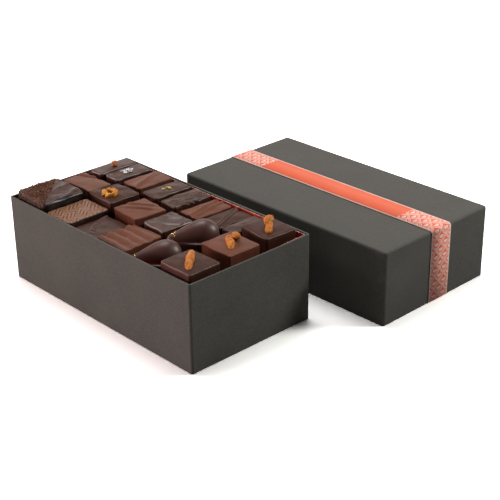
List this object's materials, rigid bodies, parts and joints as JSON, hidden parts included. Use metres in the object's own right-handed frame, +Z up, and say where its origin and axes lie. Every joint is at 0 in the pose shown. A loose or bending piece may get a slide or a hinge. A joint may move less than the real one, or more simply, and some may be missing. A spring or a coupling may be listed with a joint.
{
  "type": "box of chocolate pralines",
  "caption": "Open rectangular card box filled to the rim with rows of dipped chocolate pralines, with its deep lid lying mouth down beside it.",
  "frame": {"origin": "middle of the tray's underside, on the surface that tray and lid stand on", "axes": "+Z up; X along the tray's long sides; the lid lies on the +Y side of the tray"},
  "size_m": [0.2201, 0.2249, 0.0688],
  "materials": {
    "card": "matt charcoal paper-covered card",
    "liner_card": "matt red card",
    "band_paper": "printed matt paper",
    "lower_layers": "matt brown",
    "dark_chocolate": "satin dark chocolate coating",
    "milk_chocolate": "satin milk chocolate coating",
    "patterned_chocolate": "satin chocolate with a fine printed hatch",
    "candied_peel": "moist candied citrus peel",
    "candied_ginger": "moist candied ginger"
  },
  "bodies": {
    "root": {"tray": "card", "lid": "card", "liner": "liner_card", "band": "band_paper", "lower_layers": "lower_layers", "peel_square_near": "dark_chocolate", "combed_square": "dark_chocolate", "crumb_slab": "dark_chocolate", "folded_square": "dark_chocolate", "ginger_square": "dark_chocolate", "peel_square_far": "dark_chocolate", "notched_bar": "dark_chocolate", "ridged_bar_dark": "dark_chocolate", "crinkled_bar": "dark_chocolate", "pistachio_bar": "dark_chocolate", "salt_bar": "dark_chocolate", "nut_bar": "dark_chocolate", "bean_near": "dark_chocolate", "bean_middle": "dark_chocolate", "wave_square": "milk_chocolate", "peel_square_middle": "milk_chocolate", "grooved_square": "milk_chocolate", "grooved_bar": "milk_chocolate", "ridged_bar_milk": "milk_chocolate", "creased_bar": "milk_chocolate", "hatched_square": "patterned_chocolate", "peel_near": "candied_peel", "peel_middle": "candied_peel", "peel_far": "candied_peel", "ginger_cluster": "candied_ginger"}
  },
  "joints": []
}
